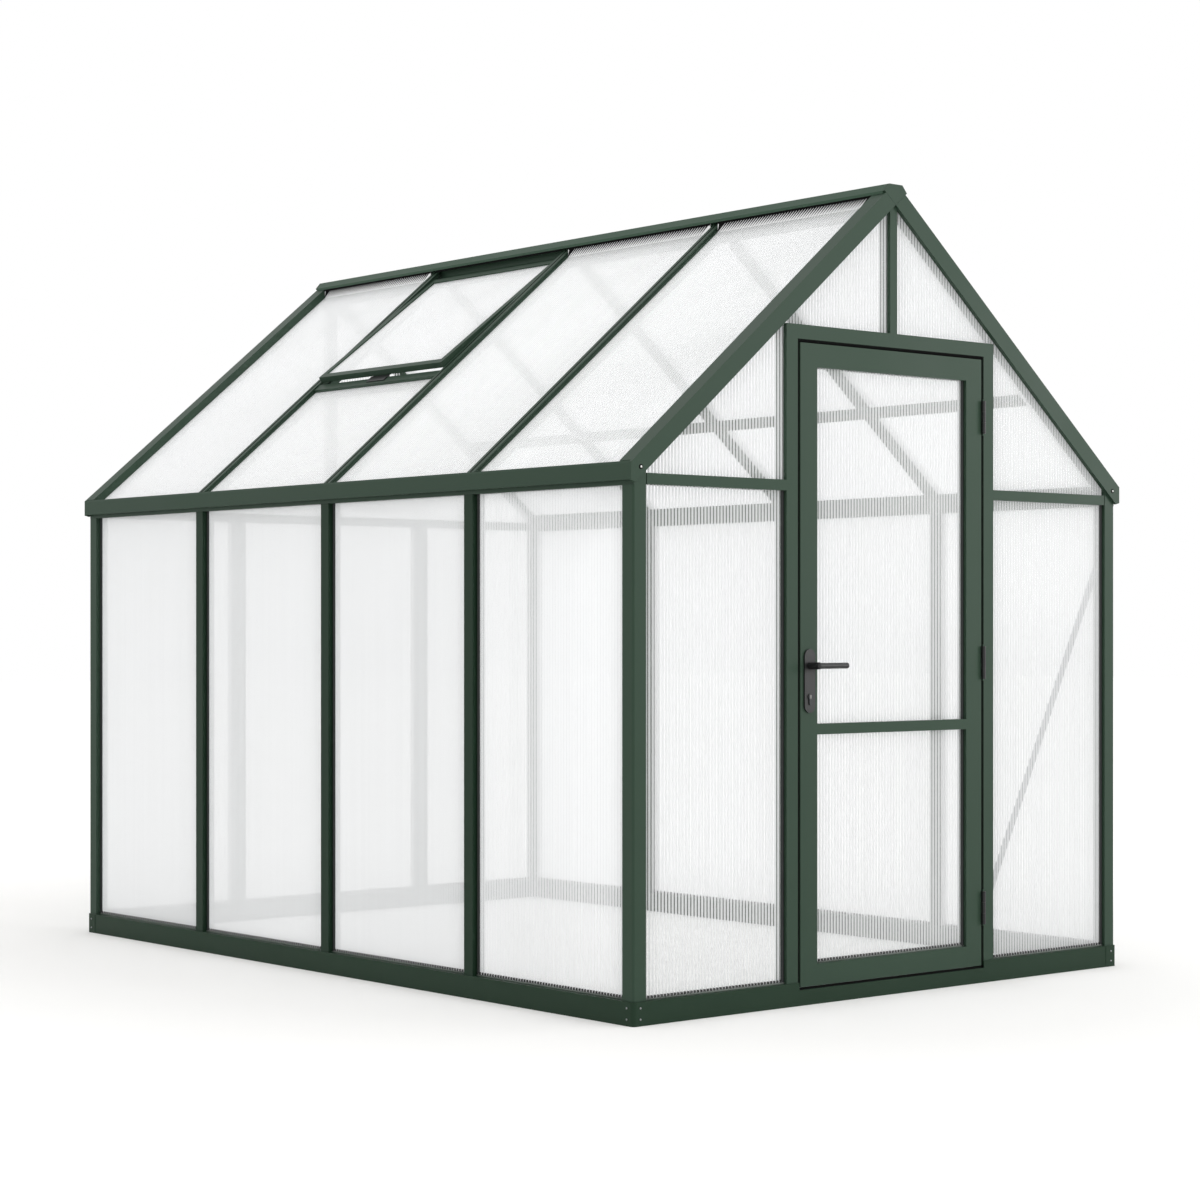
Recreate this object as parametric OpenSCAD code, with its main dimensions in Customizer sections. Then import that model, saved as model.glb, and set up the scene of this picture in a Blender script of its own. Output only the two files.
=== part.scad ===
// Small gable-roofed greenhouse: a frame of extruded aluminium bars on a low base rail,
// glazed with fluted twin-wall sheets that slide into grooves in the bars. It has one
// hinged door with a lever handle in the front gable and one roof vent propped ajar.
// Front faces -Y, up is +Z, and the origin is on the ground at the centre of the base.

/* [Plan] */
// Width over the base corners
base_w = 2000; // [2000:10:2600]
// Length over the base corners
base_l = 2900; // [2300:10:4400]
// Number of glazing bays along each side
side_bays = 4; // [4:1:6]

/* [Heights] */
// Height of the base rail
base_h = 65; // [50:1:90]
// Height of the walls, to the underside of the gutters
wall_h = 1438; // [1438:2:1700]
// Slope of the roof in degrees
roof_pitch = 40; // [40:1:46]

/* [Frame bars] */
// Depth of the posts, mullions and bars, from their outer face inwards
frame_d = 45; // [42:1:60]
// Face width of the side and back mullions
mullion_w = 40; // [34:1:60]
// Face width of the roof glazing bars
bar_w = 32; // [28:1:50]
// Depth of the roof bars' outer face below that of the rafters
bar_drop = 11; // [8:0.5:14]
// Face width of the gable rafters, measured square to the slope
rafter_w = 51; // [50:1:70]
// How far the rafters' front flange stands out from the posts
rafter_flange = 9; // [5:1:20]
// Height of the rails that cross the gables
rail_h = 30; // [26:1:50]
// Face width of the posts under the ridge
king_w = 29; // [25:1:45]
// Wall thickness of the hollow bars
bar_wall = 2.5; // [1.5:0.5:4]
// How far the base stands out from the posts
base_step = 5; // [3:1:12]
// Radius of the base corners
corner_r = 12; // [4:1:20]
// Radius of the outer edge of the corner posts
post_r = 6; // [2:1:8]

/* [Gutter and ridge] */
// Height of the gutter and of the head rail under it
gutter_h = 62; // [58:1:80]
// Height of the head rail under the gutter
head_rail_h = 12; // [9:1:16]
// How far the gutter stands out from the base
gutter_out = 10; // [4:1:25]
// Width of the trough in the gutter
trough_w = 28; // [20:1:40]
// Width of the flat ridge cap
ridge_w = 54; // [46:1:70]
// Width over the ridge cap's sloping sides
ridge_edge_w = 92; // [84:1:110]
// Height of the upright lips along the cap's edges
ridge_lip = 8; // [5:0.5:12]
// Depth of the ridge bar under the cap's top
ridge_d = 64; // [58:1:90]

/* [Glazing] */
// Thickness of the twin-wall sheet
sheet_t = 10; // [8:1:12]
// Thickness of each skin of the sheet
skin_t = 0.6; // [0.4:0.1:1.2]
// Thickness of the webs between the skins
web_t = 0.4; // [0.3:0.1:1]
// Spacing of the webs
flute_pitch = 12; // [8:0.5:40]
// Depth of the glazing grooves
groove_d = 9; // [7:1:10]
// Clearance round a sheet in its groove
fit = 0.3; // [0.1:0.1:0.5]
// How far the sheets of the gable walls lie behind the frame's face
inset_end = 13; // [9:1:18]
// How far the sheets of the sides lie behind the frame's face
inset_side = 18; // [12:1:20]
// Depth of the roof sheets below the rafters' outer face
inset_roof = 26; // [24:0.5:28]

/* [Door] */
// Width of the door opening between the jambs
door_w = 768; // [700:2:820]
// Gap between the door's head bar and the rafters beside it
head_gap = 10.6; // [3:0.2:20]
// Height of the head bar
head_h = 43; // [36:1:60]
// Face width of the jambs
jamb_w = 46; // [40:1:52]
// Height of the threshold under the door
sill_h = 44; // [30:1:49]
// Gap round the door leaf
leaf_gap = 7.5; // [5:0.5:10]
// Depth of the door leaf
leaf_d = 36; // [34:1:38]
// Face width of the leaf's stiles and top rail
stile_w = 66; // [50:1:80]
// Height of the leaf's bottom rail
kick_h = 61; // [50:1:120]
// Height of the leaf's middle rail
mid_rail_h = 30; // [26:1:60]
// Height of the middle rail's centre above the ground
mid_rail_z = 772; // [600:1:840]
// Length of each hinge
hinge_h = 98; // [70:2:120]
// Radius of the hinge knuckles
knuckle_r = 6; // [5:0.5:7]
// Radius of the hinge pins
pin_r = 3; // [2:0.5:3.5]
// Distance of the outer hinges' middles from the ends of the leaf
hinge_end = 172; // [80:2:260]

/* [Handle] */
// Height of the lever's axis above the ground
lever_z = 951; // [900:1:1100]
// Reach of the lever from its axis
lever_reach = 115; // [90:1:130]
// Thickness of the lever's bar
lever_t = 17; // [12:1:22]
// Distance from the plate to the middle of the lever's bar
lever_off = 38; // [32:1:50]
// Width of the handle's plates
plate_w = 41; // [30:1:50]
// Length of the handle's plates
plate_l = 179; // [150:1:220]
// Thickness of the handle's plates
plate_t = 5; // [4:1:10]
// Distance of the lock cylinder below the lever's axis
lock_drop = 87; // [72:1:92]

/* [Roof vent] */
// Distance of the vent's transom from the centre line, measured level
transom_u = 543; // [400:1:700]
// Angle by which the vent stands open
vent_open = 2.5; // [1:0.5:10]
// Face width of the vent's frame bars
vent_bar = 22; // [18:1:40]
// Depth of the vent's frame
vent_d = 20; // [18:1:22]

/* [Bracing] */
// Width of the purlin under the right slope
purlin_w = 45; // [30:1:60]
// Thickness of the purlin and of the diagonal brace
strap_t = 3; // [2:0.5:6]
// Width of the diagonal brace
brace_w = 22; // [15:1:35]

/* [Hidden] */
frame_green = [0.26, 0.33, 0.27];
sheet_white = [0.93, 0.95, 0.95, 0.55];
fitting_black = [0.13, 0.13, 0.14];
steel_grey = [0.7, 0.7, 0.68];
// Facets of a full circle
round_fn = 48;
// A length that overlaps a cut past a face
over = 5;
half_w = base_w / 2;
half_l = base_l / 2;
face_x = half_w - base_step;
face_y = half_l - base_step;
inner_x = face_x - frame_d;
inner_y = face_y - frame_d;
tan_p = tan(roof_pitch);
cos_p = cos(roof_pitch);
sin_p = sin(roof_pitch);
// Outer edge and top of the gutter
gutter_x = half_w + gutter_out;
gutter_z = wall_h + gutter_h;
// The rafters' outer face passes this far above the gutter, over the base's edge
eave_rise = 6;
apex_z = gutter_z + eave_rise + half_w * tan_p;
// Height of the ridge cap's top and of its edges, which stand proud of the rafters, and of
// the underside of its lips
cap_t = 6;
cap_proud = 7;
ridge_z = roof_z(ridge_w / 2, -cap_proud) + cap_t;
edge_u = ridge_edge_w / 2;
edge_z = roof_z(edge_u, -cap_proud);
lip_z = edge_z - ridge_lip;
// Joint between the kite-shaped end caps of the ridge and the rafters
seam = 0.8;
bay = base_l / side_bays;
bar_y = [for (i = [1 : side_bays - 1]) i * bay - half_l];
jamb_x = door_w / 2;
frame_x = jamb_x + jamb_w;
leaf_x = jamb_x - leaf_gap;
leaf_z0 = sill_h + leaf_gap;
// The door's head bar fits closely under the rafters
head_z = roof_z(frame_x, rafter_w) - head_gap;
leaf_z1 = head_z - head_h - leaf_gap;
// The sheets' edges lie this far inside a bar's edge
hold = groove_d - fit;
// Height of the underside of the gable rails
rail_z = wall_h + 2;
// Depth of the rafters' body, behind their front flange, measured square to the slope
flange_drop = 6;
body_v = rafter_w - flange_drop;
// Gutter: thickness of its outer wall, bevel along its top, height of its underside and of
// the trough's floor, thickness of its end plates, and the head rail's set-back
gutter_lip = 4;
gutter_bevel = 6;
gutter_low = wall_h + head_rail_h;
trough_z = gutter_low + 16;
gutter_end = 20;
head_rail_step = 2;
// The caps of the bars end this far short of the gutter's outer wall
bar_end_gap = 2;
lip_x = gutter_x - gutter_lip;
cap_x = lip_x - bar_end_gap;
// Depth of the seats under the roof sheets, and where a bar on them meets the trough's floor
seat_v = inset_roof + sheet_t + fit;
tongue_x = (apex_z - seat_v / cos_p - trough_z) / tan_p - fit;
// Foot of the rafters' flange: height of its outer corner, and run and fall to its tip
foot_z = gutter_low - 2;
foot_run = 19;
foot_fall = 5;
// Section of a roof bar: thickness of its cap, and depth and set-back of the neck under it
bar_cap_t = 2.5;
neck_v = 8.5;
neck_in = 3;
// Depth of the roof bars' inner face, and the level at which they pass under the ridge cap
bar_v = bar_drop + frame_d;
bar_u = (apex_z - bar_drop / cos_p - lip_z) / tan_p + fit;
// Half width of the ridge's middle, and reach and thickness of the wings under the sheets
core_u = 15;
wing_u = 40;
wing_t = 5;
// The roof sheets run from the ridge's middle to over the trough
sheet_end = 20;
sheet_s0 = (core_u + fit + seat_v * sin_p) / cos_p;
sheet_s1 = (gutter_x - sheet_end + inset_roof * sin_p) / cos_p;
// Vent: depth of its outer face at the hinge line, where it starts, length, side gap, and
// the sheet's depth in it
transom_s = transom_u / cos_p;
transom_v = 15;
vent_v = 20;
vent_s = (wing_u + (vent_v + vent_d) * sin_p) / cos_p + 2 * fit;
vent_end_gap = 13;
vent_h = transom_s - vent_s - vent_end_gap;
vent_gap = 2;
vent_sheet_v = vent_v + 5;
// Bead along the vent's top: reach over the ridge's wing and thickness
bead_l = 20;
bead_t = 5;
// Vent stay: width, length of its foot, reach under the vent and distance from the transom
stay_w = 100;
stay_foot = 20;
stay_reach = 20;
stay_off = 8;
// Depth of the vent's underside at its lower end
vent_low_v = (vent_v + vent_d) * cos(vent_open) - vent_h * sin(vent_open);
purlin_u = 600;
// Height of the diagonal brace's upper end, and its reach as a share of the bay
brace_top = 1243;
brace_reach = 0.75;
// How far the base's corner blocks stand proud of the rails between them
block_proud = 1;
base_d = frame_d + base_step - block_proud;
// Stops behind the door leaf
stop_w = 14;
stop_t = 4;
// Hinge line, and the plates let in beside it
hinge_x = jamb_x - leaf_gap / 2;
knuckle_gap = 1;
hinge_y = -face_y - knuckle_r - knuckle_gap;
hinge_z = [leaf_z0 + hinge_end, (leaf_z0 + leaf_z1) / 2, leaf_z1 - hinge_end];
hinge_leaf_t = 1.8;
hinge_leaf_w = 36;
running_gap = 0.5;
running_fit = 0.08;
// Joint between the gable rails and the posts
rail_joint = 3;
// The lever stands on the middle of the left stile
lever_x = stile_w / 2 - leaf_x;
leaf_y = leaf_d - face_y;
spindle_r = 7;
spindle_room = 2;
neck_r = 10;
plate_gap = 0.5;
// The plates reach this far above the lever's axis
plate_over = 47;
lock_r = 8.5;
lock_tail = 10;
lock_out = 3;
key_slot = 2.5;

// Height of the roof at a level distance u from the centre line and a depth v below its
// outer surface, measured square to the slope
function roof_z(u, v) = apex_z - u * tan_p - v / cos_p;

// A block between two opposite corners
module block(low, high) {
    translate(low) cube(high - low);
}

// A shape drawn in X and Z, from y0 to y1
module across(y0, y1) {
    translate([0, y1, 0]) rotate([90, 0, 0]) linear_extrude(y1 - y0) children();
}

// A shape drawn in X and Z with X as Y, from x0 to x1
module along(x0, x1) {
    translate([x0, 0, 0]) rotate([90, 0, 90]) linear_extrude(x1 - x0) children();
}

module both_sides() {
    children();
    mirror([1, 0, 0]) children();
}

module both_ends() {
    children();
    mirror([0, 1, 0]) children();
}

// A length of sloping bar on the right slope, with upright ends
module slope_slab(u0, u1, v0, v1, y0, y1) {
    across(y0, y1)
        polygon([[u0, roof_z(u0, v0)], [u1, roof_z(u1, v0)], [u1, roof_z(u1, v1)],
            [u0, roof_z(u0, v1)]]);
}

// Turns a piece so that X runs along the house, Y into the left slope and Z down it
module on_left_slope() {
    translate([0, 0, apex_z]) rotate([0, -90 - roof_pitch, 0]) rotate([0, 0, 90]) children();
}

// Twin-wall sheet with upright flutes: two skins joined by a web at each pitch
module twin_wall(w, h) {
    count = round(w / flute_pitch);
    step = (w - web_t) / count;
    rim = [[0, 0], [w, 0], [w, sheet_t], [0, sheet_t]];
    flutes = [for (i = [0 : count - 1])
        let (a = web_t + i * step, b = a + step - web_t)
        each [[a, skin_t], [b, skin_t], [b, sheet_t - skin_t], [a, sheet_t - skin_t]]];
    rings = [for (i = [0 : count]) [for (k = [0 : 3]) 4 * i + k]];
    linear_extrude(h) polygon(concat(rim, flutes), rings);
}

// Plan of a glazing groove with its mouth at x = 0, running to -X behind the face y = 0
module groove_plan(inset) {
    translate([-groove_d, inset - fit]) square([groove_d + over, sheet_t + 2 * fit]);
}

// Plan of a hollow bar of width w, its face at y = 0, with a groove in each listed side
module bar_plan(w, d, inset, left, right) {
    chamber_y = inset + sheet_t + fit + bar_wall;
    difference() {
        square([w, d]);
        if (right) translate([w, 0]) groove_plan(inset);
        if (left) mirror([1, 0]) groove_plan(inset);
        translate([bar_wall, chamber_y]) square([w - 2 * bar_wall, d - chamber_y - bar_wall]);
    }
}

// Section of the side base rail, from the outer face at x = 0 inwards
module base_plan(inset) {
    top = base_h - groove_d;
    groove_x = inset + base_step - block_proud - fit;
    difference() {
        square([base_d, base_h]);
        translate([groove_x, top]) square([sheet_t + 2 * fit, groove_d + over]);
        translate([bar_wall, bar_wall]) square([base_d - 2 * bar_wall, top - 2 * bar_wall]);
    }
}

module side_base() {
    translate([block_proud - half_w, 0, 0]) across(-inner_y, inner_y) base_plan(inset_side);
}

module end_base(x0, x1) {
    translate([0, block_proud - half_l, 0]) along(x0, x1) base_plan(inset_end);
}

module base_sides() {
    color(frame_green) both_sides() side_base();
}

module base_back() {
    color(frame_green) mirror([0, 1, 0]) end_base(-inner_x, inner_x);
}

// The right front rail runs on under the right jamb
module base_front() {
    color(frame_green) {
        end_base(-inner_x, -frame_x);
        end_base(jamb_x, inner_x);
    }
}

// Sill under the door, with a raised end that carries the left jamb and a notch in that
// end for the corner of the sheet
module door_threshold() {
    outer_y = block_proud - half_l;
    color(frame_green) difference() {
        union() {
            block([-frame_x, outer_y, 0], [jamb_x, -inner_y, sill_h]);
            block([-frame_x, outer_y, 0], [-jamb_x, -inner_y, base_h]);
        }
        translate([0, -face_y, base_h - groove_d]) linear_extrude(groove_d + over)
            translate([-frame_x, 0]) mirror([1, 0]) groove_plan(inset_end);
    }
}

// Grooves that hold the sheets' edges round a corner, seen in plan
module corner_grooves() {
    translate([inner_x - over, face_y - inset_end - sheet_t - fit])
        square([groove_d + over, sheet_t + 2 * fit]);
    translate([face_x - inset_side - sheet_t - fit, inner_y - over])
        square([sheet_t + 2 * fit, groove_d + over]);
}

// Plan of a square corner piece out to x and y, with its outer edge rounded
module round_corner(x, y, r) {
    translate([x - r, y - r]) circle(r, $fn = round_fn);
    translate([inner_x, inner_y]) square([x - inner_x, y - inner_y - r]);
    translate([inner_x, inner_y]) square([x - inner_x - r, y - inner_y]);
}

// Corner block of the base
module corner_block() {
    difference() {
        linear_extrude(base_h) round_corner(half_w, half_l, corner_r);
        translate([0, 0, base_h - groove_d]) linear_extrude(groove_d + over) corner_grooves();
    }
}

module base_corners() {
    color(frame_green) both_ends() both_sides() corner_block();
}

// Corner post: a hollow square bar with a groove for the sheets of each wall
module corner_post() {
    rim = groove_d + bar_wall;
    translate([0, 0, base_h]) linear_extrude(wall_h - base_h) difference() {
        round_corner(face_x, face_y, post_r);
        corner_grooves();
        translate([inner_x + rim, inner_y + rim])
            square([frame_d - rim - bar_wall, frame_d - rim - bar_wall]);
    }
}

module corner_posts() {
    color(frame_green) both_ends() both_sides() corner_post();
}

// Hollow mullions between the bays of the left side
module side_mullions() {
    for (y = bar_y)
        translate([-face_x, y - mullion_w / 2, base_h]) linear_extrude(wall_h - base_h)
            mirror([1, -1, 0]) bar_plan(mullion_w, frame_d, inset_side, true, true);
}

module left_mullions() {
    color(frame_green) side_mullions();
}

module right_mullions() {
    color(frame_green) mirror([1, 0, 0]) side_mullions();
}

// The back wall's mullions stand in line with the door's jambs
module back_mullions() {
    color(frame_green) mirror([0, 1, 0]) both_sides()
        translate([jamb_x, -face_y, base_h]) linear_extrude(rail_z - base_h)
            bar_plan(jamb_w, frame_d, inset_end, true, true);
}

// Outline of the right gutter: the head rail, the trough and the sloping seat
module gutter_outline() {
    rail_x = face_x - head_rail_step;
    seat_x = lip_x - trough_w;
    polygon([[inner_x, wall_h], [rail_x, wall_h], [rail_x, gutter_low], [gutter_x, gutter_low],
        [gutter_x, gutter_z - gutter_bevel], [gutter_x - gutter_lip / 2, gutter_z],
        [lip_x, gutter_z], [lip_x, trough_z], [seat_x, trough_z],
        [seat_x, roof_z(seat_x, seat_v)], [inner_x, roof_z(inner_x, seat_v)]]);
}

// The hollow inside the gutter, behind the trough
module gutter_chamber() {
    low = wall_h + groove_d + bar_wall;
    high_v = seat_v + bar_wall;
    x0 = inner_x + bar_wall;
    x1 = lip_x - trough_w - bar_wall;
    polygon([[x0, low], [x1, low], [x1, roof_z(x1, high_v)], [x0, roof_z(x0, high_v)]]);
}

// Gutter with solid end plates, and grooves for the sheets of the side and of each gable
module gutter() {
    chamber_y = face_y - gutter_end;
    groove_x = face_x - inset_side + fit;
    gable_y = face_y - inset_end;
    difference() {
        across(-face_y, face_y) gutter_outline();
        across(-chamber_y, chamber_y) gutter_chamber();
        block([groove_x - sheet_t - 2 * fit, -inner_y - groove_d, wall_h - over],
            [groove_x, inner_y + groove_d, wall_h + groove_d]);
        both_ends() block([inner_x - over, gable_y - sheet_t - fit, wall_h - over],
            [inner_x + groove_d, gable_y + fit, roof_z(inner_x, body_v - groove_d)]);
    }
}

module left_gutter() {
    color(frame_green) mirror([1, 0, 0]) gutter();
}

module right_gutter() {
    color(frame_green) gutter();
}

// Ridge: a cap with sloping sides and lips, wings under the sheets and a deep middle
module ridge_beam() {
    wing_v = seat_v;
    color(frame_green) {
        across(-face_y, face_y) both_flanks()
            polygon([[0, lip_z], [edge_u, lip_z], [edge_u, edge_z], [ridge_w / 2, ridge_z],
                [0, ridge_z]]);
        across(-inner_y, inner_y) both_flanks()
            polygon([[0, ridge_z - ridge_d], [core_u, ridge_z - ridge_d],
                [core_u, roof_z(core_u, wing_v + wing_t)], [wing_u, roof_z(wing_u, wing_v + wing_t)],
                [wing_u, roof_z(wing_u, wing_v)], [core_u, roof_z(core_u, wing_v)],
                [core_u, edge_z], [0, edge_z]]);
    }
}

// A drawn half section and its mirror image, as one shape
module both_flanks() {
    children();
    mirror([1, 0]) children();
}

// Right front rafter: a flange over the wall's face, grooves for the gable's and roof's
// sheets, and a stepped tongue that lies over the end of the gutter
module rafter() {
    wall_y = inset_end + sheet_t + fit - face_y;
    difference() {
        union() {
            slope_slab(0, gutter_x, 0, rafter_w, -face_y - rafter_flange, -face_y);
            slope_slab(0, inner_x, 0, body_v, -face_y, -inner_y);
            slope_slab(inner_x, tongue_x, 0, seat_v, -face_y, -inner_y);
            slope_slab(inner_x, cap_x, 0, inset_roof - fit, -face_y, -inner_y);
        }
        slope_slab(-over, inner_x + over, body_v - groove_d, body_v + over,
            wall_y - sheet_t - 2 * fit, wall_y);
        slope_slab(-over, gutter_x + over, inset_roof - fit, seat_v,
            -inner_y - groove_d, over - inner_y);
        block([-over, -face_y, lip_z], [edge_u, over - inner_y, apex_z + over]);
        translate([0, -face_y, 0]) {
            across(-rafter_flange - over, 0) apex_kite(apex_z + over, seam);
            across(-rafter_flange - over, 0) foot_cut();
        }
    }
}

// What is cut from the foot of a rafter's flange
module foot_cut() {
    tip_x = gutter_x - foot_run;
    polygon([[gutter_x, foot_z], [tip_x, foot_z - foot_fall], [tip_x - foot_run, 0],
        [gutter_x + over, 0], [gutter_x + over, foot_z]]);
}

module front_left_rafter() {
    color(frame_green) mirror([1, 0, 0]) rafter();
}

module front_right_rafter() {
    color(frame_green) rafter();
}

module back_left_rafter() {
    color(frame_green) mirror([0, 1, 0]) mirror([1, 0, 0]) rafter();
}

module back_right_rafter() {
    color(frame_green) mirror([0, 1, 0]) rafter();
}

// Outline of the ridge's end up to the height top, with some room beside the rafters: the
// cap's sides, and a point between the rafters
module apex_kite(top, room) {
    both_flanks() polygon([[0, top], [ridge_w / 2, top], [edge_u + room, edge_z],
        [0, roof_z(0, rafter_w) - room]]);
}

// Kite-shaped end caps of the ridge, let in between the rafters' front flanges
module apex_plates() {
    color(frame_green) both_ends() translate([0, -face_y, 0]) across(-rafter_flange, 0)
        apex_kite(ridge_z, 0);
}

// A glazing bar of the right slope: a cap on a narrower neck, the clamp over the sheets, a
// core between them and an inner flange
module roof_bar(y) {
    half = bar_w / 2;
    neck = half - neck_in;
    core = half - groove_d;
    slope_slab(bar_u, cap_x, bar_drop, bar_drop + bar_cap_t, y - half, y + half);
    slope_slab(bar_u, cap_x, bar_drop, inset_roof - fit, y - neck, y + neck);
    slope_slab(bar_u, cap_x, bar_drop + neck_v, inset_roof - fit, y - half, y + half);
    slope_slab(bar_u, tongue_x, bar_drop, seat_v, y - core, y + core);
    slope_slab(wing_u, inner_x, seat_v - web_t, bar_v, y - core, y + core);
    slope_slab(wing_u, inner_x, seat_v, bar_v, y - half, y + half);
}

module left_roof_bars() {
    color(frame_green) mirror([1, 0, 0]) for (y = bar_y) roof_bar(y);
}

module right_roof_bars() {
    color(frame_green) for (y = bar_y) roof_bar(y);
}

// A level bar of the front wall, from x0 to x1 and from z0 up
module rail(x0, x1, z0, h, d, low, high) {
    translate([0, -face_y, z0]) along(x0, x1) mirror([1, -1, 0])
        bar_plan(h, d, inset_end, low, high);
}

// Rails at the foot of the gables, broken by the door at the front
module gable_rails() {
    color(frame_green) {
        both_sides() rail(frame_x, inner_x - rail_joint, rail_z, rail_h, frame_d, true, true);
        mirror([0, 1, 0])
            rail(rail_joint - inner_x, inner_x - rail_joint, rail_z, rail_h, frame_d, true, true);
    }
}

// The space under the rafters at a depth v, above the height low
module under_roof(v, low) {
    across(-face_y, -inner_y)
        polygon([[-inner_x, low], [inner_x, low], [inner_x, roof_z(inner_x, v)],
            [0, roof_z(0, v)], [-inner_x, roof_z(inner_x, v)]]);
}

module king_post(low) {
    intersection() {
        translate([-king_w / 2, -face_y, low]) linear_extrude(apex_z - low)
            bar_plan(king_w, frame_d, inset_end, true, true);
        under_roof(body_v, 0);
    }
}

// Upright bars between the ridge and the bar below it in each gable
module king_posts() {
    color(frame_green) {
        king_post(head_z);
        mirror([0, 1, 0]) king_post(rail_z + rail_h);
    }
}

// Door jambs, each with a stop behind the leaf
module door_jambs() {
    color(frame_green) both_sides() translate([jamb_x, -face_y, base_h])
        linear_extrude(head_z - head_h - base_h) {
            bar_plan(jamb_w, frame_d, inset_end, false, true);
            translate([-stop_w, frame_d - stop_t]) square([stop_w + stop_t, stop_t]);
        }
}

// Bar over the door, with a stop behind the leaf and a groove along its top and ends
module door_head() {
    low = head_z - head_h;
    groove_y = inset_end - fit - face_y;
    color(frame_green) difference() {
        union() {
            rail(-frame_x, frame_x, low, head_h, frame_d, false, true);
            block([stop_w - jamb_x, -inner_y - stop_t, low - stop_w],
                [jamb_x - stop_w, -inner_y, low + stop_t]);
        }
        both_sides() block([frame_x - groove_d, groove_y, low - over],
            [frame_x + over, groove_y + sheet_t + 2 * fit, head_z + over]);
    }
}

// A sheet of the front wall between two lines and two heights
module wall_sheet(x0, x1, z0, z1) {
    translate([x0, inset_end - face_y, z0]) twin_wall(x1 - x0, z1 - z0);
}

module side_wall_sheets() {
    edges = concat([-inner_y - mullion_w / 2], bar_y, [inner_y + mullion_w / 2]);
    inner = mullion_w / 2 - hold;
    for (i = [0 : side_bays - 1])
        translate([sheet_t + inset_side - face_x, edges[i] + inner, base_h - hold])
            rotate([0, 0, 90])
                twin_wall(edges[i + 1] - edges[i] - 2 * inner, wall_h - base_h + 2 * hold);
}

module left_wall_sheets() {
    color(sheet_white) side_wall_sheets();
}

module right_wall_sheets() {
    color(sheet_white) mirror([1, 0, 0]) side_wall_sheets();
}

module back_wall_sheets() {
    low = base_h - hold;
    high = rail_z + hold;
    color(sheet_white) mirror([0, 1, 0]) {
        both_sides() wall_sheet(frame_x - hold, inner_x + hold, low, high);
        wall_sheet(-jamb_x - hold, jamb_x + hold, low, high);
    }
}

module front_wall_sheets() {
    color(sheet_white) both_sides()
        wall_sheet(frame_x - hold, inner_x + hold, base_h - hold, rail_z + hold);
}

// Sheets of the gable beside and over the door, cut to the slope of the rafters
module front_gable_sheets() {
    low = rail_z + rail_h - hold;
    color(sheet_white) both_sides() {
        intersection() {
            wall_sheet(frame_x - hold, inner_x, low, apex_z);
            under_roof(body_v - hold, low - over);
        }
        intersection() {
            wall_sheet(king_w / 2 - hold, frame_x - groove_d - fit, head_z - hold, apex_z);
            under_roof(body_v - hold, low - over);
        }
    }
}

module back_gable_sheets() {
    low = rail_z + rail_h - hold;
    color(sheet_white) mirror([0, 1, 0]) both_sides() intersection() {
        wall_sheet(king_w / 2 - hold, inner_x, low, apex_z);
        under_roof(body_v - hold, low - over);
    }
}

// Roof sheets of the left slope; the bay with the vent has only the part below it
module slope_sheets(vent_bay) {
    edges = concat([-inner_y - bar_w / 2], bar_y, [inner_y + bar_w / 2]);
    inner = bar_w / 2 - hold;
    for (i = [0 : side_bays - 1]) {
        s0 = i == vent_bay ? transom_s + rail_h - hold : sheet_s0;
        on_left_slope() translate([edges[i] + inner, inset_roof, s0])
            twin_wall(edges[i + 1] - edges[i] - 2 * inner, sheet_s1 - s0);
    }
}

module left_roof_sheets() {
    color(sheet_white) slope_sheets(side_bays - 2);
}

module right_roof_sheets() {
    color(sheet_white) mirror([1, 0, 0]) slope_sheets(-1);
}

// Places a piece in the vent's bay, with X measured from the middle of the bay
module at_vent() {
    on_left_slope() translate([bar_y[side_bays - 3] + bay / 2, 0, 0]) children();
}

// Cross bar under the vent, between the two roof bars
module vent_transom() {
    w = bay - bar_w;
    color(frame_green) at_vent() difference() {
        block([-w / 2, transom_v, transom_s], [w / 2, bar_v, transom_s + rail_h]);
        block([-w, inset_roof - fit, transom_s + rail_h - groove_d],
            [w, seat_v, transom_s + rail_h + over]);
    }
}

// Places a piece on the vent's frame, turned up about its hinge line
module on_vent() {
    at_vent() translate([0, 0, vent_s]) rotate([vent_open, 0, 0]) children();
}

// Vent frame: four bars between the roof bars, with a groove for the sheet, and a bead
// along the top that sits over the ridge's wing
module vent_frame() {
    w = bay - bar_w - 2 * vent_gap;
    low_v = vent_v + vent_d;
    bead_v = seat_v - 4 * fit;
    color(frame_green) on_vent() {
        difference() {
            block([-w / 2, vent_v, 0], [w / 2, low_v, vent_h]);
            block([vent_bar - w / 2, vent_v - over, vent_bar],
                [w / 2 - vent_bar, low_v + over, vent_h - vent_bar]);
            block([vent_bar - groove_d - w / 2, vent_sheet_v - fit, vent_bar - groove_d],
                [w / 2 - vent_bar + groove_d, vent_sheet_v + sheet_t + fit,
                vent_h - vent_bar + groove_d]);
        }
        block([-w / 2, bead_v - bead_t, -bead_l], [w / 2, bead_v, bead_t]);
    }
}

module vent_sheet() {
    w = bay - bar_w - 2 * (vent_gap + vent_bar - hold);
    h = vent_h - 2 * (vent_bar - hold);
    color(sheet_white) on_vent() translate([-w / 2, vent_sheet_v, vent_bar - hold])
        twin_wall(w, h);
}

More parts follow.
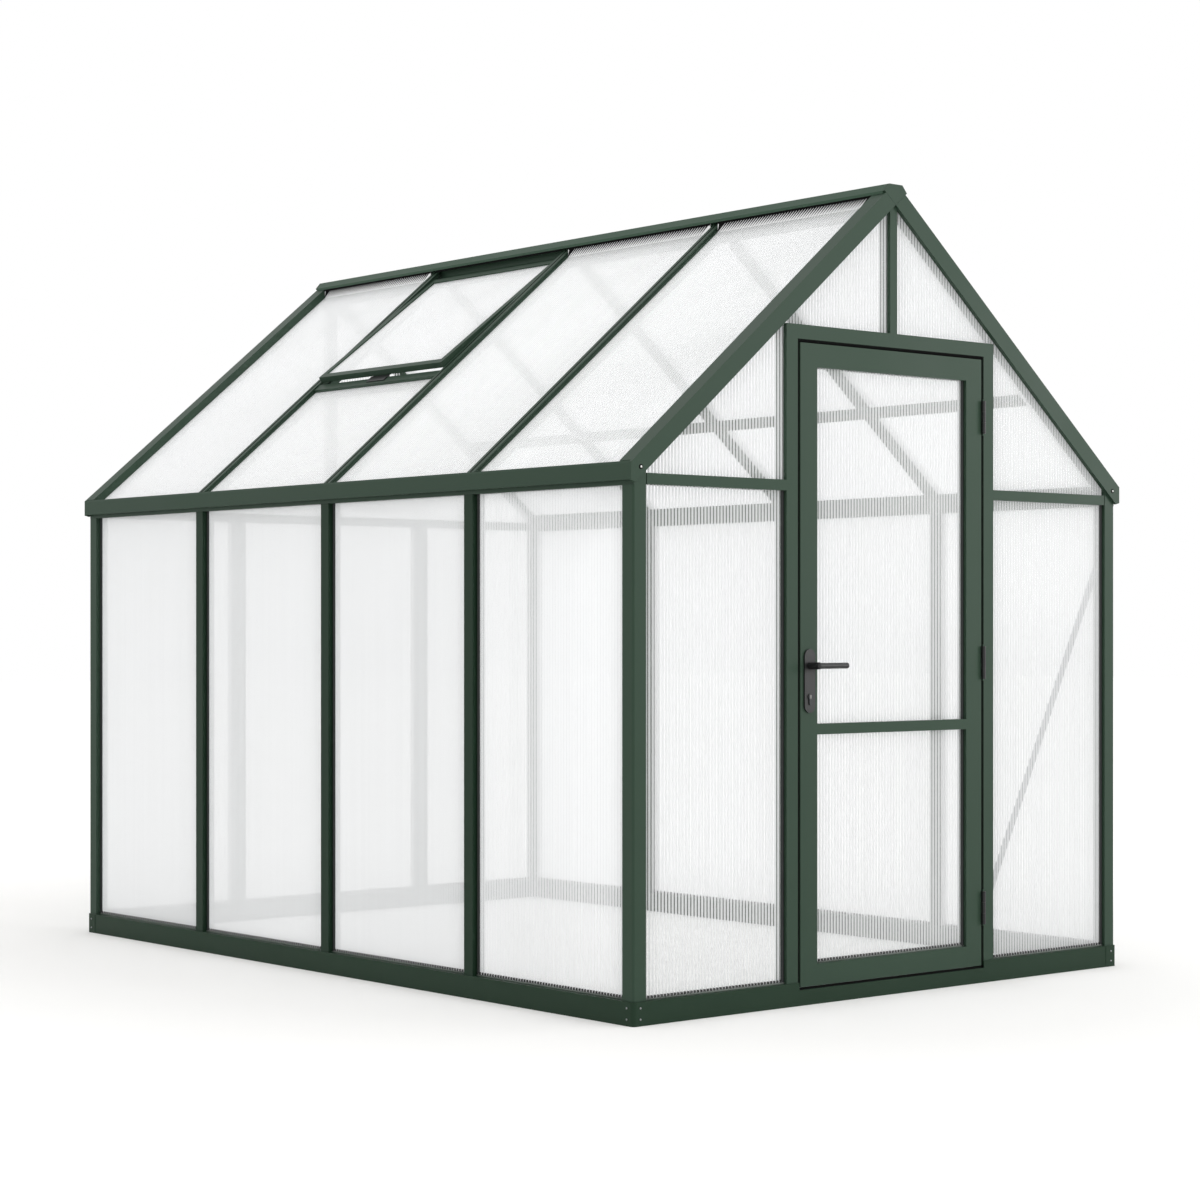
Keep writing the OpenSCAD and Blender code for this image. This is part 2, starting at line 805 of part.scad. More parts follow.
// Stay that props the vent: a foot on the transom, an upright on its edge, and a narrower
// shelf under the frame that ends in the upright
module vent_stay() {
    shelf_v = vent_v + vent_d + fit;
    shelf_w = stay_w - 2 * strap_t;
    foot_v = transom_v - strap_t;
    mid_v = vent_low_v + strap_t / 2;
    s = transom_s - stay_off;
    color(fitting_black) {
        at_vent() {
            block([-stay_w / 2, foot_v, s], [stay_w / 2, transom_v, transom_s + stay_foot]);
            block([-stay_w / 2, min(foot_v, mid_v - strap_t), s],
                [stay_w / 2, max(transom_v, mid_v + strap_t), s + strap_t]);
        }
        difference() {
            on_vent() block([-shelf_w / 2, shelf_v, vent_h - stay_reach],
                [shelf_w / 2, shelf_v + strap_t, vent_h + 2 * stay_off]);
            at_vent() block([-stay_w, mid_v - stay_w, s + strap_t / 2],
                [stay_w, mid_v + stay_w, transom_s + stay_w]);
        }
    }
}

// Level flat bar under the bars of the right slope
module roof_purlin() {
    color(frame_green) slope_slab(purlin_u, purlin_u + purlin_w * cos_p, bar_v,
        bar_v + strap_t, -inner_y, inner_y);
}

// Diagonal flat bar inside the first bay of the right side, from the post to the base
module wind_brace() {
    top = [inset_end + sheet_t + fit + brace_w / 2 - face_y, brace_top];
    foot = [brace_reach * bay - face_y, base_h / 2];
    run = foot - top;
    long = norm(run);
    color(steel_grey) translate([inner_x - strap_t, 0, 0]) along(0, strap_t)
        translate(top) rotate(atan2(run.y, run.x)) translate([0, -brace_w / 2])
            square([long, brace_w]);
}

// Places a piece on the door's hinge line
module at_hinges() {
    for (z = hinge_z) translate([hinge_x, hinge_y, z]) children();
}

// Pin with the two outer knuckles and the plate that is screwed to the jamb
module hinge_pins() {
    third = hinge_h / 6;
    gap = leaf_gap / 2;
    color(fitting_black) at_hinges() {
        cylinder(hinge_h, r = pin_r, center = true, $fn = round_fn);
        for (k = [-1, 1]) translate([0, 0, k * 2 * third])
            cylinder(2 * third, r = knuckle_r, center = true, $fn = round_fn);
        block([gap - hinge_leaf_t, knuckle_r + knuckle_gap, -hinge_h / 2],
            [gap, hinge_leaf_w, hinge_h / 2]);
        for (k = [-1, 1]) translate([0, 0, k * 2 * third])
            block([gap - hinge_leaf_t, 0, -third], [gap, knuckle_r + 2 * knuckle_gap, third]);
    }
}

// Middle knuckle round the pin, with the plate that is screwed to the leaf
module hinge_leaves() {
    third = hinge_h / 6;
    gap = leaf_gap / 2;
    color(fitting_black) at_hinges() difference() {
        union() {
            cylinder(2 * (third - running_gap), r = knuckle_r, center = true, $fn = round_fn);
            block([-gap, knuckle_r + knuckle_gap, -hinge_h / 2],
                [hinge_leaf_t - gap, hinge_leaf_w, hinge_h / 2]);
            block([-gap, 0, running_gap - third],
                [hinge_leaf_t - gap, knuckle_r + 2 * knuckle_gap, third - running_gap]);
        }
        cylinder(hinge_h, r = pin_r + running_fit, center = true, $fn = round_fn);
    }
}

// Upright bars of the door leaf; the left one is bored for the lever's spindle
module door_stiles() {
    color(frame_green) difference() {
        both_sides() translate([leaf_x - stile_w, -face_y, leaf_z0])
            linear_extrude(leaf_z1 - leaf_z0)
                bar_plan(stile_w, leaf_d, inset_end, true, false);
        translate([lever_x, 0, lever_z]) rotate([90, 0, 0])
            cylinder(base_l, r = spindle_r + spindle_room, $fn = round_fn);
    }
}

module door_rails() {
    x = leaf_x - stile_w;
    color(frame_green) {
        rail(-x, x, leaf_z0, kick_h, leaf_d, false, true);
        rail(-x, x, mid_rail_z - mid_rail_h / 2, mid_rail_h, leaf_d, true, true);
        rail(-x, x, leaf_z1 - stile_w, stile_w, leaf_d, true, false);
    }
}

module door_sheets() {
    x = leaf_x - stile_w + hold;
    color(sheet_white) {
        wall_sheet(-x, x, leaf_z0 + kick_h - hold, mid_rail_z - mid_rail_h / 2 + hold);
        wall_sheet(-x, x, mid_rail_z + mid_rail_h / 2 - hold, leaf_z1 - stile_w + hold);
    }
}

// Long plates with round ends on both faces of the stile
module handle_plates() {
    low = lever_z + plate_over - plate_l;
    color(fitting_black) for (y = [-face_y, leaf_y + plate_t]) difference() {
        translate([lever_x, y, 0]) rotate([90, 0, 0]) linear_extrude(plate_t) {
            translate([0, low + plate_w / 2]) circle(d = plate_w, $fn = round_fn);
            translate([0, low + plate_l - plate_w / 2]) circle(d = plate_w, $fn = round_fn);
            translate([-plate_w / 2, low + plate_w / 2]) square([plate_w, plate_l - plate_w]);
        }
        translate([lever_x, 0, lever_z]) rotate([90, 0, 0])
            cylinder(base_l, r = spindle_r + running_fit, $fn = round_fn);
    }
}

// Outline of the lock's cylinder: a round barrel over a narrower tail
module lock_outline() {
    circle(lock_r, $fn = round_fn);
    translate([-lock_tail / 2, -lock_r - lock_tail]) square([lock_tail, lock_r + lock_tail / 2]);
    translate([0, -lock_r - lock_tail]) circle(d = lock_tail, $fn = round_fn);
}

module lock_cylinder() {
    color(steel_grey) for (y = [-face_y - plate_t, leaf_y + plate_t + lock_out])
        translate([lever_x, y, lever_z - lock_drop]) rotate([90, 0, 0])
            linear_extrude(lock_out) difference() {
                lock_outline();
                translate([-key_slot / 2, -lock_r / 2]) square([key_slot, lock_r]);
            }
}

// A lever on each face of the door, joined by the spindle
module lever_handle() {
    neck = lever_off - plate_gap;
    color(fitting_black) {
        translate([lever_x, leaf_y + plate_t + lever_off, lever_z]) rotate([90, 0, 0])
            cylinder(leaf_d + 2 * (plate_t + lever_off), r = spindle_r, $fn = round_fn);
        for (y = [-face_y - plate_t - plate_gap, leaf_y + plate_t + lever_off])
            translate([lever_x, y, lever_z]) rotate([90, 0, 0])
                cylinder(neck, r = neck_r, $fn = round_fn);
        for (y = [-face_y - plate_t - lever_off, leaf_y + plate_t + lever_off])
            translate([lever_x, y, lever_z]) lever_arm();
    }
}

// Round-ended bar of the lever, from the neck to its tip
module lever_arm() {
    r = lever_t / 2;
    rotate([0, 90, 0]) cylinder(lever_reach - r, r = r, $fn = round_fn);
    sphere(r, $fn = round_fn);
    translate([lever_reach - r, 0, 0]) sphere(r, $fn = round_fn);
}

base_sides();
base_back();
base_front();
door_threshold();
base_corners();
corner_posts();
left_mullions();
right_mullions();
back_mullions();
left_gutter();
right_gutter();
ridge_beam();
front_left_rafter();
front_right_rafter();
back_left_rafter();
back_right_rafter();
apex_plates();
left_roof_bars();
right_roof_bars();
gable_rails();
king_posts();
door_jambs();
door_head();
left_wall_sheets();
right_wall_sheets();
back_wall_sheets();
front_wall_sheets();
front_gable_sheets();
back_gable_sheets();
left_roof_sheets();
right_roof_sheets();
vent_transom();
vent_frame();
vent_sheet();
vent_stay();
roof_purlin();
wind_brace();
hinge_pins();
door_stiles();
door_rails();
door_sheets();
hinge_leaves();
handle_plates();
lock_cylinder();
lever_handle();
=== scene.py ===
import math

import bmesh
import bpy
import numpy as np
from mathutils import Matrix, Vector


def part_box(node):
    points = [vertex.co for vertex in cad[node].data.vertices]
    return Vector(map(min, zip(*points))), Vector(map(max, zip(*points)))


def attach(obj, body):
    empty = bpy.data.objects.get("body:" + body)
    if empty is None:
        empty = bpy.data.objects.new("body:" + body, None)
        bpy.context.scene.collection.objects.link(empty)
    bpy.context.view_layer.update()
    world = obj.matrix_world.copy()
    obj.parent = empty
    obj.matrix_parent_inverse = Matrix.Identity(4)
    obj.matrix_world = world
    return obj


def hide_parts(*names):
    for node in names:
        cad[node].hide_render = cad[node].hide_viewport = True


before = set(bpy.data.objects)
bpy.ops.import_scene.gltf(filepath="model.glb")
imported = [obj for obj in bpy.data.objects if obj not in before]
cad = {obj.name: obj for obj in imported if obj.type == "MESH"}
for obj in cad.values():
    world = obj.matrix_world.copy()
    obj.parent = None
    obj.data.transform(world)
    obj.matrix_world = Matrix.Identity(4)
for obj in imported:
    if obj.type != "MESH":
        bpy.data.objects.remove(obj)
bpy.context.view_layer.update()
scene = bpy.context.scene
print("frame loaded:", len(cad), "CAD nodes")


# hex text to linear light: c / 12.92 below 0.04045, otherwise ((c + 0.055) / 1.055) ^ 2.4
def linear(hexText):
    c = np.array([int(hexText[i:i + 2], 16) / 255 for i in (1, 3, 5)])
    return tuple(np.where(c <= 0.04045, c / 12.92, ((c + 0.055) / 1.055) ** 2.4)) + (1.0,)


# adds a node: settings go to inputs where the node has one of that name or number
def addNode(tree, kind, settings=None, links=None):
    made = tree.nodes.new(kind)
    for key, value in (settings or {}).items():
        if isinstance(key, int) or key in made.inputs:
            made.inputs[key].default_value = value
        else:
            setattr(made, key, value)
    for key, source in (links or {}).items():
        tree.links.new(source, made.inputs[key])
    return made


def startMaterial(name, shaderSettings):
    mat = bpy.data.materials.new(name)
    mat.use_nodes = True
    tree = mat.node_tree
    tree.nodes.clear()
    shader = addNode(tree, "ShaderNodeBsdfPrincipled", shaderSettings)
    addNode(tree, "ShaderNodeOutputMaterial", {}, {"Surface": shader.outputs[0]})
    where = addNode(tree, "ShaderNodeTexCoord")
    return mat, tree, shader, where


# a noise field that mixes the base colour from lowHex to highHex
def mixedTone(tree, shader, vector, scale, detail, lowHex, highHex):
    field = addNode(tree, "ShaderNodeTexNoise", {"Scale": scale, "Detail": detail}, {"Vector": vector})
    tone = addNode(tree, "ShaderNodeMix", {"data_type": "RGBA", 6: linear(lowHex), 7: linear(highHex)},
                   {0: field.outputs["Fac"]})
    tree.links.new(tone.outputs[2], shader.inputs["Base Color"])
    return field


def addRelief(tree, shader, field, strength, distance):
    bump = addNode(tree, "ShaderNodeBump", {"Strength": strength, "Distance": distance},
                   {"Height": field.outputs["Fac"]})
    tree.links.new(bump.outputs[0], shader.inputs["Normal"])


# the camera stands at eye level in front of the left corner and looks level
cameraSet = {"place": (-5.598, -6.765, 1.055), "turn": 40.15, "lens": 79.7, "rise": 0.0239}


def placeCamera(s):
    data = bpy.data.cameras.new("viewCamera")
    data.sensor_width = 36
    data.lens = s["lens"]
    data.shift_y = s["rise"]
    made = bpy.data.objects.new("viewCamera", data)
    made.location = s["place"]
    made.rotation_euler = (math.radians(90), 0, -math.radians(s["turn"]))
    scene.collection.objects.link(made)
    scene.camera = made


placeCamera(cameraSet)
print("camera placed")


# white to the eye, to gloss and through glass; a soft even sky to everything else
skySet = {"sky": "#fdfcfb", "skyLevel": 0.97, "white": "#ffffff"}


def buildSky(s):
    world = bpy.data.worlds.new("studioSky")
    world.use_nodes = True
    scene.world = world
    tree = world.node_tree
    tree.nodes.clear()
    path = addNode(tree, "ShaderNodeLightPath")
    seen = addNode(tree, "ShaderNodeMath", {"operation": "MAXIMUM"},
                   {0: path.outputs["Is Camera Ray"], 1: path.outputs["Is Glossy Ray"]})
    seen = addNode(tree, "ShaderNodeMath", {"operation": "MAXIMUM"},
                   {0: seen.outputs[0], 1: path.outputs["Is Transmission Ray"]})
    soft = addNode(tree, "ShaderNodeBackground", {"Color": linear(s["sky"]), "Strength": s["skyLevel"]})
    white = addNode(tree, "ShaderNodeBackground", {"Color": linear(s["white"]), "Strength": 1.0})
    both = addNode(tree, "ShaderNodeMixShader", {},
                   {0: seen.outputs[0], 1: soft.outputs[0], 2: white.outputs[0]})
    addNode(tree, "ShaderNodeOutputWorld", {}, {"Surface": both.outputs[0]})


# three soft boxes: a wide one high on the right of the front, a weaker one on the left, and
# one low on the right that gives the front's right end its sheen
lampSet = {
    "keyBox": {"place": (3.2, -9.0, 5.2), "aim": (0.2, -0.6, 1.0), "size": 4.5, "watts": 170},
    "sideBox": {"place": (-8.5, 1.5, 6.5), "aim": (-0.4, 0.0, 1.1), "size": 5.0, "watts": 35},
    "sheenBox": {"place": (8.0, -7.0, 2.6), "aim": (0.9, -1.45, 1.2), "size": 3.0, "watts": 150},
}


def placeLamps(lamps):
    for name, s in lamps.items():
        data = bpy.data.lights.new(name, "AREA")
        data.shape = "SQUARE"
        data.size = s["size"]
        data.energy = s["watts"]
        lamp = bpy.data.objects.new(name, data)
        scene.collection.objects.link(lamp)
        aim = np.array(s["aim"]) - np.array(s["place"])
        lamp.location = s["place"]
        flat = math.hypot(aim[0], aim[1])
        lamp.rotation_euler = (math.atan2(flat, -aim[2]), 0, math.atan2(aim[1], aim[0]) - math.pi / 2)


# A wide matt floor: the object's shadow stays near it, and the floor rises to white further out.
# Distance is measured in footprints: length of (x / 1.0, y / 1.45)
floorSet = {"reach": 40.0, "hex": "#e9e9e8", "liftNear": 0.14, "liftFar": 0.34, "near": 1.5, "far": 3.4,
            "footprint": (1.0, 1.45, 1.0)}


def buildFloor(s):
    mesh = bpy.data.meshes.new("studioFloor")
    r = s["reach"]
    mesh.from_pydata([(-r, -r, 0), (r, -r, 0), (r, r, 0), (-r, r, 0)], [], [(0, 1, 2, 3)])
    made = bpy.data.objects.new("studioFloor", mesh)
    scene.collection.objects.link(made)
    mat, tree, shader, where = startMaterial("paperFloor", {
        "Base Color": linear(s["hex"]), "Roughness": 0.9, "Specular IOR Level": 0.0,
        "Emission Color": linear("#ffffff")})
    path = addNode(tree, "ShaderNodeLightPath")
    steps = addNode(tree, "ShaderNodeVectorMath", {"operation": "DIVIDE", 1: s["footprint"]},
                    {0: where.outputs["Object"]})
    away = addNode(tree, "ShaderNodeVectorMath", {"operation": "LENGTH"}, {0: steps.outputs[0]})
    rise = addNode(tree, "ShaderNodeMapRange", {"From Min": s["near"], "From Max": s["far"],
                                                "To Min": s["liftNear"], "To Max": s["liftFar"]},
                   {"Value": away.outputs["Value"]})
    lift = addNode(tree, "ShaderNodeMath", {"operation": "MULTIPLY"},
                   {0: path.outputs["Is Camera Ray"], 1: rise.outputs[0]})
    tree.links.new(lift.outputs[0], shader.inputs["Emission Strength"])
    mesh.materials.append(mat)


buildSky(skySet)
placeLamps(lampSet)
buildFloor(floorSet)
print("studio built")


# polyester powder coat on extruded aluminium: a satin skin with a fine orange peel, and a faint unevenness of
# tone over half a metre. The ridge's copy of the coat is lighter, and the mullions' and the base's are
# darker, than the frame's: these differences are partly painted light and painted shade, and partly the
# coats' own tone
coatSet = {
    "frameCoat": {"hex": "#34483a", "deepHex": "#304236", "peel": 0.10, "gloss": 0.15},
    "ridgeLitCoat": {"hex": "#3a5242", "deepHex": "#364d3e", "peel": 0.10, "gloss": 0.15},
    "mullionShadedCoat": {"hex": "#1d3324", "deepHex": "#1a2f21", "peel": 0.10, "gloss": 0.15},
    "baseShadedCoat": {"hex": "#223728", "deepHex": "#1f3325", "peel": 0.10, "gloss": 0.15},
}
coatGrain = {"cloudScale": 2.2, "peelScale": 250.0, "peelDeep": 0.0004, "smooth": 0.38, "rough": 0.48}


def powderCoat(name, s):
    mat, tree, shader, where = startMaterial(name, {"Specular IOR Level": s["gloss"]})
    g = coatGrain
    cloud = mixedTone(tree, shader, where.outputs["Object"], g["cloudScale"], 3.0, s["deepHex"], s["hex"])
    rough = addNode(tree, "ShaderNodeMapRange", {"From Min": 0.3, "From Max": 0.7,
                                                 "To Min": g["smooth"], "To Max": g["rough"]},
                    {"Value": cloud.outputs["Fac"]})
    tree.links.new(rough.outputs[0], shader.inputs["Roughness"])
    # real peel is about 1.5 mm across; drawn at 4 mm so that it shows
    peel = addNode(tree, "ShaderNodeTexNoise", {"Scale": g["peelScale"], "Detail": 1.0},
                   {"Vector": where.outputs["Object"]})
    addRelief(tree, shader, peel, s["peel"], g["peelDeep"])
    return mat


# die-cast zinc, powder coated black: satin with a fine grain
fittingSet = {"hex": "#161717", "greyHex": "#1f2021", "roughness": 0.34, "grain": 600.0, "relief": 0.15,
              "reliefDeep": 0.0002}


def blackCoat(s):
    mat, tree, shader, where = startMaterial("blackDieCast", {"Roughness": s["roughness"], "IOR": 1.5})
    grain = mixedTone(tree, shader, where.outputs["Object"], s["grain"], 2.0, s["hex"], s["greyHex"])
    addRelief(tree, shader, grain, s["relief"], s["reliefDeep"])
    return mat


# brushed or drawn metal: fine lines along one axis spread the highlight
metalSet = {
    "darkSteel": {"hex": "#4c4d4e", "deepHex": "#3b3c3d", "along": (40.0, 40.0, 900.0), "roughness": 0.36},
    "brushedSteel": {"hex": "#b9b8b4", "deepHex": "#8f8e8a", "along": (40.0, 40.0, 900.0),
                     "roughness": 0.32},
    "zincPlate": {"hex": "#d8d9d6", "deepHex": "#b9bbb8", "along": (500.0, 500.0, 500.0), "roughness": 0.3},
    "millAluminium": {"hex": "#a4a6a8", "deepHex": "#8b8e90", "along": (700.0, 40.0, 40.0),
                      "roughness": 0.45},
}
metalGrain = {"detail": 3.0, "relief": 0.2, "reliefDeep": 0.0002}


def drawnMetal(name, s):
    mat, tree, shader, where = startMaterial(name, {"Metallic": 1.0, "Roughness": s["roughness"]})
    turn = addNode(tree, "ShaderNodeMapping", {"Scale": s["along"]}, {"Vector": where.outputs["Object"]})
    g = metalGrain
    lines = mixedTone(tree, shader, turn.outputs[0], 1.0, g["detail"], s["deepHex"], s["hex"])
    addRelief(tree, shader, lines, g["relief"], g["reliefDeep"])
    return mat


# Extruded twin-wall polycarbonate: clear skins with faint draw lines along the flutes, and webs that scatter
# the light and turn milky. The webs and the ridge's closure also glow: that glow is painted light, an even
# emission that brightens them as if they were lit from every side
sheetSet = {
    "skinHex": "#fafafa", "skinDeepHex": "#f3f4f4", "skinAlpha": 0.08, "frontWebAlpha": 0.76,
    "webHex": "#e4e5e6", "webDeepHex": "#dddedf", "webAlpha": 0.80, "roofWebAlpha": 0.62,
    "skinRoughness": 0.12, "webRoughness": 0.5, "ior": 1.58, "drawLines": (120.0, 0.7, 1.0),
    # painted light: the emission colour and strengths that brighten the webs, the roof's webs and the ridge's
    # closure
    "paintedGlowHex": "#fafbfc", "paintedGlow": 0.19, "roofPaintedGlow": 0.2375, "closurePaintedGlow": 0.114,
}


def drawLines(name, hexText, deepHex, alpha, roughness, paintedGlow=0.0):
    s = sheetSet
    mat, tree, shader, where = startMaterial(name, {
        "Alpha": alpha, "Roughness": roughness, "IOR": s["ior"],
        "Emission Color": linear(s["paintedGlowHex"]), "Emission Strength": paintedGlow})
    # draw lines 8 mm apart and a metre and a half long
    turn = addNode(tree, "ShaderNodeMapping", {"Scale": s["drawLines"]}, {"Vector": where.outputs["UV"]})
    mixedTone(tree, shader, turn.outputs[0], 1.0, 2.0, deepHex, hexText)
    return mat


# extruded EPDM rubber: matt, with a faint bloom along its length
rubberSet = {
    # the black one is the washers' rubber and also the colour of the painted shade: the flute ends, the
    # door's gap, the ridge's bead and tufts, the bars' grooves
    "blackRubberAndShade": {"hex": "#040404", "bloomHex": "#0a0b0b", "roughness": 0.85},
    "greyRubber": {"hex": "#666d68", "bloomHex": "#727974", "roughness": 0.75},
    "wedgeRubber": {"hex": "#323434", "bloomHex": "#3b3d3d", "roughness": 0.7},
}
rubberGrain = {"scale": 35.0, "detail": 3.0, "gloss": 0.1}


def rubber(name, s):
    g = rubberGrain
    mat, tree, shader, where = startMaterial(name, {"Roughness": s["roughness"],
                                                    "Specular IOR Level": g["gloss"]})
    mixedTone(tree, shader, where.outputs["Object"], g["scale"], g["detail"], s["hex"], s["bloomHex"])
    return mat


frameCoat, ridgeLitCoat, mullionShadedCoat, baseShadedCoat = (powderCoat(name, s) for name, s in coatSet.items())
darkSteel, brushedSteel, zincPlate, millAluminium = (drawnMetal(name, s) for name, s in metalSet.items())
blackRubberAndShade, greyRubber, wedgeRubber = (rubber(name, s) for name, s in rubberSet.items())
blackDieCast = blackCoat(fittingSet)


def webMaterial(name, alpha, paintedGlow):
    s = sheetSet
    return drawLines(name, s["webHex"], s["webDeepHex"], alpha, s["webRoughness"], paintedGlow)


clearSkin = drawLines("polycarbonateSkin", sheetSet["skinHex"], sheetSet["skinDeepHex"],
                      sheetSet["skinAlpha"], sheetSet["skinRoughness"])
frontWeb = webMaterial("polycarbonateFrontWeb", sheetSet["frontWebAlpha"], sheetSet["paintedGlow"])
milkyWeb = webMaterial("polycarbonateWeb", sheetSet["webAlpha"], sheetSet["paintedGlow"])
roofWeb = webMaterial("polycarbonateRoofWeb", sheetSet["roofWebAlpha"], sheetSet["roofPaintedGlow"])
closureSheet = webMaterial("polycarbonateClosure", 1.0, sheetSet["closurePaintedGlow"])

# the CAD nodes that aren't the green frame; the glazing is built further down
otherFinishes = {
    "base_sides": baseShadedCoat, "base_back": baseShadedCoat, "base_front": baseShadedCoat, "base_corners": baseShadedCoat,
    "door_threshold": baseShadedCoat, "hinge_pins": blackDieCast, "hinge_leaves": blackDieCast,
    "handle_plates": blackDieCast, "lever_handle": blackDieCast, "vent_stay": blackDieCast,
    "lock_cylinder": darkSteel, "wind_brace": millAluminium, "ridge_beam": ridgeLitCoat,
    "left_mullions": mullionShadedCoat, "right_mullions": mullionShadedCoat, "back_mullions": mullionShadedCoat,
}


def paintNodes():
    for name, made in cad.items():
        if not made.data.materials:
            made.data.materials.append(None)
        finish = clearSkin if "sheet" in name else otherFinishes.get(name, frameCoat)
        for i in range(len(made.data.materials)):
            made.data.materials[i] = finish


paintNodes()
print("CAD nodes painted")


# faces may be an array or a list of mixed lengths; a closed piece has its normals turned outwards
def addPiece(name, points, faces, materials, body, kinds=None, uv=None, smooth=False,
             closed=True):
    mesh = bpy.data.meshes.new(name)
    mesh.from_pydata(np.asarray(points).tolist(), [], faces if isinstance(faces, list) else faces.tolist())
    for m in materials:
        mesh.materials.append(m)
    if kinds is not None:
        mesh.polygons.foreach_set("material_index", np.asarray(kinds, dtype=np.int32))
    if uv is not None:
        corner = np.empty(len(mesh.loops), dtype=np.int32)
        mesh.loops.foreach_get("vertex_index", corner)
        layer = mesh.uv_layers.new(name="sheetGrid")
        layer.data.foreach_set("uv", np.asarray(uv)[corner].astype(np.float32).ravel())
    if closed:
        turned = bmesh.new()
        turned.from_mesh(mesh)
        bmesh.ops.recalc_face_normals(turned, faces=turned.faces)
        turned.to_mesh(mesh)
        turned.free()
    mesh.polygons.foreach_set("use_smooth", np.full(len(mesh.polygons), smooth))
    mesh.update()
    made = bpy.data.objects.new(name, mesh)
    scene.collection.objects.link(made)
    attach(made, body)
    return made


def nodeArrays(name):
    mesh = cad[name].data
    co = np.empty(len(mesh.vertices) * 3)
    mesh.vertices.foreach_get("co", co)
    area = np.empty(len(mesh.polygons))
    mesh.polygons.foreach_get("area", area)
    normal = np.empty(len(mesh.polygons) * 3)
    mesh.polygons.foreach_get("normal", normal)
    return co.reshape(-1, 3), area, normal.reshape(-1, 3)


# a corner this close to a plane lies in it
flush = 1e-4


# rounded values in order, split where the step to the next is wider than apart
def clusters(values, apart=0.2):
    v = np.unique(np.round(values, 4))
    return np.split(v, np.where(np.diff(v) > apart)[0] + 1)


# parts of quads put together: rows (points, faces, kind), each part's faces counted from 0
def joined(parts):
    start = np.cumsum([0] + [len(p) for p, f, kind in parts[:-1]])
    points = np.concatenate([p for p, f, kind in parts])
    faces = np.concatenate([f + n for (p, f, kind), n in zip(parts, start)])
    kinds = np.concatenate([np.full(len(f), kind) for p, f, kind in parts])
    return points, faces, kinds


# A sheet is read from its CAD node as columns: every place a across the flutes, with the
# lowest and highest point along them. Skin point (a, b, c) = a * across + b * along + c * out,
# b being low(a) or high(a) and c the inner or the outer face. A web is the thin box between
# two columns less than a millimetre apart.
glazing = {
    "left_wall_sheets": "root", "right_wall_sheets": "root", "back_wall_sheets": "root",
    "front_wall_sheets": "root", "front_gable_sheets": "root", "back_gable_sheets": "root",
    "left_roof_sheets": "root", "right_roof_sheets": "root", "vent_sheet": "root", "door_sheets": "door",
}
glazingSet = {"skin": 0.0006, "webWidest": 0.001, "gap": 0.0135, "root": 0.0023}


def sheetAxes(co, area, normal):
    out = normal[np.argmax(area)]
    middle = np.array([0.0, 0.0, 1.2])
    if out @ (co.mean(0) - middle) < 0:
        out = -out
    across = np.cross([0.0, 0.0, 1.0], out)
    across = across / np.linalg.norm(across)
    return across, np.cross(out, across), out


def sheetShell(a, low, high, c0, c1):
    n = len(a)
    i = np.arange(n - 1)
    b = np.concatenate([low, high, low, high])
    c = np.repeat([c0, c1], 2 * n)
    points = np.column_stack([np.tile(a, 4), b, c])
    innerLow, innerHigh, outerLow, outerHigh = 0, n, 2 * n, 3 * n
    faces = np.concatenate([
        np.column_stack([outerLow + i, outerLow + i + 1, outerHigh + i + 1, outerHigh + i]),
        np.column_stack([innerHigh + i, innerHigh + i + 1, innerLow + i + 1, innerLow + i]),
        np.column_stack([innerLow + i, innerLow + i + 1, outerLow + i + 1, outerLow + i]),
        np.column_stack([innerHigh + i, outerHigh + i, outerHigh + i + 1, innerHigh + i + 1]),
        [[innerLow, outerLow, outerHigh, innerHigh]],
        [[innerLow + n - 1, innerHigh + n - 1, outerHigh + n - 1, outerLow + n - 1]],
    ])
    return points, faces


# the milky middle of each web, as one face between the skins
def webFaces(a0, low, high, c0, c1):
    n = len(a0)
    b = np.column_stack([low, high, high, low])
    points = np.stack([np.repeat(a0, 4).reshape(n, 4), b, np.tile([c0, c0, c1, c1], (n, 1))], axis=2)
    return points.reshape(-1, 3), np.arange(4 * n).reshape(n, 4)


# the thickened root of each web in the outer skin, as one face along it
def webRoots(a0, low, high, c, half):
    n = len(a0)
    a = np.column_stack([a0 - half, a0 + half, a0 + half, a0 - half])
    b = np.column_stack([low, low, high, high])
    points = np.stack([a, b, np.full((n, 4), c)], axis=2).reshape(-1, 3)
    return points, np.arange(4 * n).reshape(n, 4)


# Black blocks fill the lower ends of the flutes, one between each pair of webs: they are painted shade,
# standing for the dark inside the flutes' open ends. A grey bead lies along the foot of the sheet on the
# frame's edge, outside and inside
footSet = {"plugWide": 0.0072, "plugTall": 0.0105, "clear": 0.0008, "lift": 0.001, "beadTall": 0.0045,
           "beadDeep": 0.004, "level": (0.0, 0.72, 0.93, 1.0), "pinch": (1.0, 1.0, 0.8, 0.45)}
footed = {"left_wall_sheets", "right_wall_sheets", "back_wall_sheets", "front_wall_sheets", "door_sheets"}
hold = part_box("base_sides")[1][2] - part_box("left_wall_sheets")[0][2]  # how deep a sheet sits in its frame
footShadePlugs = {"root": [], "door": []}
footBeads = {"root": [], "door": []}


# a block with a rounded upper edge: a ring of four corners at each of four levels, drawn in by
# pinch as it rises
def plugBlocks(middle, half, low, high, c0, c1, level, pinch):
    level, pinch = np.array(level), np.array(pinch)
    a = middle[:, None, None] + half * pinch[:, None] * np.array([-1, 1, 1, -1])
    b = np.broadcast_to((low[:, None] + (high - low)[:, None] * level)[:, :, None], a.shape)
    c = np.broadcast_to(np.array([c0, c0, c1, c1]), a.shape)
    i = np.arange(4)
    j = (i + 1) % 4
    ring = np.column_stack([i, j, j + 4, i + 4])
    block = np.concatenate([ring, ring + 4, ring + 8, [[3, 2, 1, 0], [12, 13, 14, 15]]])
    faces = block[None] + 16 * np.arange(len(middle))[:, None, None]
    return np.stack([a, b, c], axis=3).reshape(-1, 3), faces.reshape(-1, 4)


